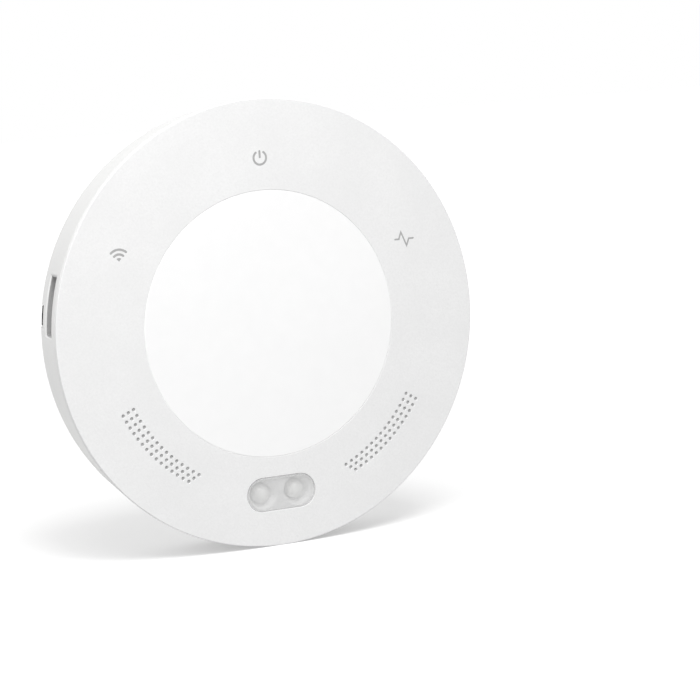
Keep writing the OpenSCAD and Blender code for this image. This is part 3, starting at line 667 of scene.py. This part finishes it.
def grommet_plug():
    """Rubber plug in the channel's mouth, cut to the rim, with a cable hole and a hairline slit; its charcoal
    is partly painted shade in the notch.
    """
    low, high = lying_box("cable_grommet")
    width, height = high.y - low.y, high.z - low.z
    outer_x = grommet_sunk - back_r
    length = high.x - outer_x
    plug = stacked(rounded_box(height, width, cut_break), [
        (-edge_break, 0), (0, edge_break), (0, length - edge_break), (-edge_break, length)])
    through = [(0, -over), (0, length + over)]
    slit = placed(stacked(rounded_box(height, grommet_slit_w, grommet_slit_w / 4), through), height / 2)
    bore = stacked(disc(grommet_bore_r), through)
    mesh = along_x(combined(plug, ("DIFFERENCE", [bore]), ("DIFFERENCE", [slit])),
                   outer_x, middle("cable_grommet").y, low.z + height / 2)
    for corner in mesh.verts:
        x, y, z = corner.co
        if x < outer_x + length / 2:
            corner.co.x = x - outer_x - math.sqrt((rim_slope * z - outer_x) ** 2 - y ** 2)
    return mesh


piece("housing_shell", housing_shell(), satin_abs, ["rear_housing"])
# Grey lining of the slot: partly the socket's nylon, partly painted shade darkening the slot
piece("slot_shade_collar", slot_shade_collar(), grey_nylon)
# Charcoal plug: a real part, its dark also painted shade in the cable notch
piece("grommet_plug", grommet_plug(), soft_rubber, ["cable_grommet"])


# Front bezel, grille cloths, centre disc

def behind_grille(outline, side, low_z):
    """Block of an outline behind a grille, from low_z up to the face of the cloth."""
    x, y = grille_at(side, (grille_cols - 1) / 2, (grille_rows - 1) / 2)
    return placed(stacked(outline, [(0, low_z), (0, cloth_top_z)]), x, y, 0, math.atan2(x, -y))


def bezel_ring():
    """Face ring with its skirt and the ledge for the disc, then pockets, lamp opening and grille holes."""
    skirt_r = body_r + rim_slope * (bezel_under_z - skirt_h - seam_z) - wall - fit
    bore_r = cap_r + fit
    rib_r = bore_r + ledge_rib_w
    section = rounded(
        [(cap_r - ledge_w, ledge_under_z), (rib_r, ledge_under_z), (rib_r, bezel_under_z),
         (skirt_r - skirt_t, bezel_under_z), (skirt_r - skirt_t, bezel_under_z - skirt_h),
         (skirt_r, bezel_under_z - skirt_h), (skirt_r, seam_z + seam_gap), (body_r, seam_z + seam_gap),
         (body_r, face_z), (bore_r, face_z), (bore_r, cap_under_z), (cap_r - ledge_w, cap_under_z)],
        [edge_break, edge_break, 0, 0, edge_break, edge_break, 0, edge_break, bezel_edge_r, cap_break, 0, 0])
    hole_r, flare = grille_hole_r, grille_hole_break
    hole = [(0, bezel_under_z), (hole_r, bezel_under_z), (hole_r, face_z - flare),
            (hole_r + flare + over, face_z + over), (0, face_z + over)]
    holes = [placed(turned(hole, grille_hole_steps), *grille_at(side, col, row))
             for side in (-1, 1) for col in range(grille_cols) for row in range(grille_rows)]
    pocket = oval(grille_l + 2 * pocket_margin, pocket_w)
    pockets = [behind_grille(pocket, side, bezel_under_z - over) for side in (-1, 1)]
    opening = placed(stacked(window_outline, [
        (fit, bezel_under_z - over), (fit, face_z - cap_break), (fit + cap_break + over, face_z + over)]),
        *middle("lamp_window").xy)
    return combined(turned(section, ring_steps), ("DIFFERENCE", pockets + [opening]), ("DIFFERENCE", holes))


def centre_disc():
    """Glossy disc with a lip that closes its gap in the bezel just below the face."""
    lip_r, lip_z = cap_r + lip_w, face_z - cap_lip_drop
    section = rounded(
        [(0, cap_under_z), (lip_r, cap_under_z), (lip_r, lip_z),
         (cap_r, lip_z), (cap_r, face_z), (0, face_z)],
        [0, edge_break, 0, 0, cap_break, 0])
    return turned(section, ring_steps)


piece("bezel_ring", bezel_ring(), spark_eroded_abs, ["front_bezel"])
piece("centre_disc", centre_disc(), polished_abs, ["centre_cap"])
for side, name in ((-1, "left"), (1, "right")):
    cloth = oval(grille_l + 2 * cloth_margin, cloth_w)
    piece(name + "_cloth", behind_grille(cloth, side, lying_box(name + "_grille_cloth")[0].z),
          woven_polyester, [name + "_grille_cloth"])


# Warning lamps

def lamp_lens():
    """Window with a rounded edge, and a lip that closes its gap in the bezel just below the face."""
    lip_z = face_z - window_lip_drop
    edge_z = window_high.z - window_edge_r
    start = math.degrees(math.asin((lip_z - edge_z) / window_edge_r))
    lower = [(-edge_break, window_low.z), (lip_w, window_low.z + edge_break), (lip_w, lip_z)]
    edge = [(x - window_edge_r, z) for x, z in arc(0, edge_z, window_edge_r, start, 90, 8)]
    return placed(stacked(window_outline, lower + edge), *middle("lamp_window").xy)


def lamp_bowls():
    """Reflector under the window: a lip behind the bezel and a bowl for each lamp."""
    low, high = lying_box("lamp_reflector")
    lip = oval(high.x - low.x, high.y - low.y)
    block = combined(
        stacked(window_outline, [(0, low.z), (0, window_low.z)]),
        ("UNION", [stacked(lip, [(0, bezel_under_z - lamp_lip_t), (0, bezel_under_z)])]))
    wall_w = bowl_top_r - bowl_floor_r
    arc_r = (wall_w ** 2 + bowl_depth ** 2) / (2 * wall_w)
    foot = math.degrees(math.asin(bowl_depth / arc_r))
    bowl = ([(0, low.z - over), (bowl_floor_r, low.z - over)]
            + arc(bowl_top_r - arc_r, window_low.z, arc_r, -foot, 0, 16)
            + [(bowl_top_r, window_low.z + over), (0, window_low.z + over)])
    bowls = [placed(turned(bowl, lamp_steps), middle(lamp).x) for lamp in lamps]
    return placed(combined(block, ("DIFFERENCE", bowls)), 0, middle("lamp_window").y)


def reflector_shade_mask():
    """Pale grey layer on the flat of the reflector, round both bowls: painted shade between them."""
    plate = stacked(window_outline, [(-edge_break, window_low.z), (-edge_break, window_low.z + print_t)])
    hole = disc(bowl_top_r + print_t, lamp_steps)
    holes = [placed(stacked(hole, [(0, window_low.z - over), (0, window_low.z + over)]), middle(lamp).x)
             for lamp in lamps]
    return placed(combined(plate, ("DIFFERENCE", holes)), 0, middle("lamp_window").y)


def lamp_dome(node):
    """Lamp with a straight foot and a round top."""
    low, high = lying_box(node)
    r = (high.x - low.x) / 2
    section = [(0, low.z), (r, low.z)] + arc(0, high.z - r, r, 0, 90, 16)
    return placed(turned(section, lamp_steps), *middle(node).xy)


piece("lamp_lens", lamp_lens(), hazed_polycarbonate, ["lamp_window"])
piece("lamp_bowls", lamp_bowls(), reflector_abs, ["lamp_reflector"])
# Painted shade: a pale grey layer on the reflector, darker between the bowls
piece("reflector_shade_mask", reflector_shade_mask(), reflector_shade_ink)
for lamp in lamps:
    piece(lamp + "_dome", lamp_dome(lamp), diffused_epoxy, [lamp])


# Printed marks over the light guides

mark_levels = [(0, face_z - print_t), (0, face_z + print_t)]


def power_mark():
    ring_r, stroke, gap = 2.25, 0.7, 37
    bar_top, bar_foot = 2.2, 0.2
    return [ribbon(arc(0, 0, ring_r, 90 + gap, 450 - gap, 48), stroke),
            ribbon([(0, bar_foot), (0, bar_top)], stroke)]


def wireless_mark():
    foot_y, half, stroke = -2.1, 42, 0.75
    fan_r, arc_radii = 1.2, (2.35, 3.9)
    fan = [(0, foot_y)] + arc(0, foot_y, fan_r, 90 - half, 90 + half, 12)
    arcs = [ribbon(arc(0, foot_y, r, 90 - half, 90 + half, 24), stroke) for r in arc_radii]
    return [lambda grow=0: fan] + arcs


def activity_mark():
    stroke = 0.55
    return [ribbon([(-3.4, 0), (-2.0, 0), (-1.1, 2.35), (0.8, -2.3), (1.75, 0), (3.4, 0)], stroke)]


for mark in (power_mark, wireless_mark, activity_mark):
    guide = mark.__name__.replace("mark", "light_guide")
    strokes = [stacked(outline, mark_levels) for outline in mark()]
    piece(mark.__name__, placed(joined(strokes), *middle(guide).xy), screen_ink)


# Reset button and screws

def reset_cap():
    """Button with its collar and stem, from the finger end along x."""
    low, high = lying_box("reset_button")
    length = high.x - low.x
    section = rounded(
        [(0, 0), (button_r, 0), (button_r, button_collar_start), (button_collar_r, button_collar_start),
         (button_collar_r, button_collar_end), (button_stem_r, button_collar_end),
         (button_stem_r, length), (0, length)],
        [0, button_edge_r, 0, edge_break, edge_break, 0, edge_break, 0])
    return along_x(turned(section), low.x, middle("reset_button").y, middle("reset_button").z)


def case_screw():
    """Pan head screw with a six-lobed drive; the faces in the drive take the second finish, darker steel as
    painted shade.
    """
    head_edge_r, tip_edge_r = 0.5, 0.4
    drive_r, drive_swing, drive_lobes, drive_depth, drive_reach = 1.15, 0.2, 6, 1.1, 1.4
    steps = 48
    low, high = lying_box("case_screws")
    seat_z = low.z + case_head_t
    section = rounded(
        [(0, low.z), (case_head_r, low.z), (case_head_r, seat_z),
         (case_shank_r, seat_z), (case_shank_r, high.z), (0, high.z)],
        [0, head_edge_r, edge_break, 0, tip_edge_r, 0])
    turns = [360 / steps * i for i in range(steps)]
    lobes = [on_axis(math.radians(a), drive_r + drive_swing * math.cos(math.radians(drive_lobes * a)))
             for a in turns]
    drive = stacked(lambda grow=0: lobes, [(0, low.z - over), (0, low.z + drive_depth)])
    screw = combined(turned(section), ("DIFFERENCE", [drive]))
    # Faces in the drive take the darker steel: painted shade in the recess
    for face in screw.faces:
        x, y, z = face.calc_center_median()
        in_drive = low.z + print_t < z < seat_z and math.hypot(x, y) < drive_reach
        face.material_index = int(in_drive)
    return screw


piece("reset_cap", reset_cap(), grey_acetal, ["reset_button"], "reset_button")
screw_set = piece(
    "case_screw_set", joined([placed(case_screw(), *on_axis(a, case_screw_r)) for a in case_screw_angles]),
    zinc_steel, ["case_screws"])
# Second finish of the screws: darker steel, painted shade inside the drives
screw_set.data.materials.append(drive_shade_steel)


# Camera, floor and light

LENS_PX, IMAGE_PX, SENSOR_MM = 2600, 700, 36.0


def photo_camera():
    """Camera at the photograph's angle: low at the left, and slightly rolled."""
    aim = Vector((28.4, -24.0, -11.9)) * MM
    azimuth, elevation, roll = math.radians(-24.4), math.radians(7.58), math.radians(3.53)
    distance = 0.88
    back = Vector((math.sin(azimuth) * math.cos(elevation), -math.cos(azimuth) * math.cos(elevation),
                   math.sin(elevation)))
    data = bpy.data.cameras.new("photo_camera")
    data.sensor_width = SENSOR_MM
    data.lens = SENSOR_MM * LENS_PX / IMAGE_PX
    camera = bpy.data.objects.new("photo_camera", data)
    turn = (-back).to_track_quat("-Z", "Y").to_matrix() @ Matrix.Rotation(-roll, 3, "Z")
    camera.matrix_world = Matrix.Translation(aim + back * distance) @ turn.to_4x4()
    bpy.context.scene.collection.objects.link(camera)
    bpy.context.scene.camera = camera


def seen_directly(tree):
    """1 for rays from the camera, from gloss and through glass, 0 for the light that bounces."""
    path = add(tree, "ShaderNodeLightPath", {})
    two = add(tree, "ShaderNodeMath", {
        0: path["Is Camera Ray"], 1: path["Is Glossy Ray"]}, operation="MAXIMUM")[0]
    return add(tree, "ShaderNodeMath", {0: two, 1: path["Is Transmission Ray"]}, operation="MAXIMUM")[0]


def pale_floor():
    """White matt board, lifted to white where it is seen, less so near the rim so that the shadow shows."""
    size, near, far = 6.0, 0.25, 1.0
    near_lift, far_lift = 0.37, 0.62
    made, tree = new_material("white_matt_board")
    direct = seen_directly(tree)
    at = add(tree, "ShaderNodeTexCoord", {})["Object"]
    away = add(tree, "ShaderNodeVectorMath", {0: at}, operation="LENGTH")["Value"]
    lift = add(tree, "ShaderNodeMapRange", {
        "Value": away, "From Min": near, "From Max": far, "To Min": near_lift, "To Max": far_lift})[0]
    colour = add(tree, "ShaderNodeMix", {
        "Factor": direct, MIX_A: linear("#B2B2B2"), MIX_B: linear("#E0E0E0")}, data_type="RGBA")[MIX_RESULT]
    matt = add(tree, "ShaderNodeBsdfDiffuse", {"Color": colour})[0]
    strength = add(tree, "ShaderNodeMath", {0: direct, 1: lift}, operation="MULTIPLY")[0]
    glow = add(tree, "ShaderNodeEmission", {"Strength": strength})[0]
    both = add(tree, "ShaderNodeAddShader", {0: matt, 1: glow})[0]
    add(tree, "ShaderNodeOutputMaterial", {"Surface": both})
    mesh = bmesh.new()
    bmesh.ops.create_grid(mesh, x_segments=1, y_segments=1, size=size / 2)
    data = bpy.data.meshes.new("floor")
    mesh.to_mesh(data)
    mesh.free()
    data.materials.append(made)
    floor = bpy.data.objects.new("floor", data)
    floor.location.z = cad_box[0].z
    bpy.context.scene.collection.objects.link(floor)


def soft_dome():
    """White surroundings: bright where they are seen, softer where they only light."""
    world = bpy.data.worlds.new("soft_dome")
    world.use_nodes = True
    tree = world.node_tree
    tree.nodes.clear()
    lit, seen = 0.57, 1.0
    strength = add(tree, "ShaderNodeMapRange", {
        "Value": seen_directly(tree), "To Min": lit, "To Max": seen})[0]
    sky = add(tree, "ShaderNodeBackground", {"Color": linear("#FFFFFF"), "Strength": strength})[0]
    add(tree, "ShaderNodeOutputWorld", {"Surface": sky})
    bpy.context.scene.world = world


def softbox(name, place, size, watts):
    """Square area light aimed at the middle of the disc."""
    data = bpy.data.lights.new(name, "AREA")
    data.shape = "SQUARE"
    data.size = size
    data.energy = watts
    lamp = bpy.data.objects.new(name, data)
    lamp.location = place
    lamp.rotation_euler = (-Vector(place)).to_track_quat("-Z", "Y").to_euler()
    bpy.context.scene.collection.objects.link(lamp)


photo_camera()
pale_floor()
soft_dome()
softbox("far_softbox", (0.0, -3.3, 5.2), 2.2, 142)
softbox("near_softbox", (-0.12, -0.22, 0.30), 0.2, 0.47)
softbox("side_softbox", (-1.7, -1.0, 0.05), 1.2, 13)
bpy.context.scene.view_settings.view_transform = "Standard"
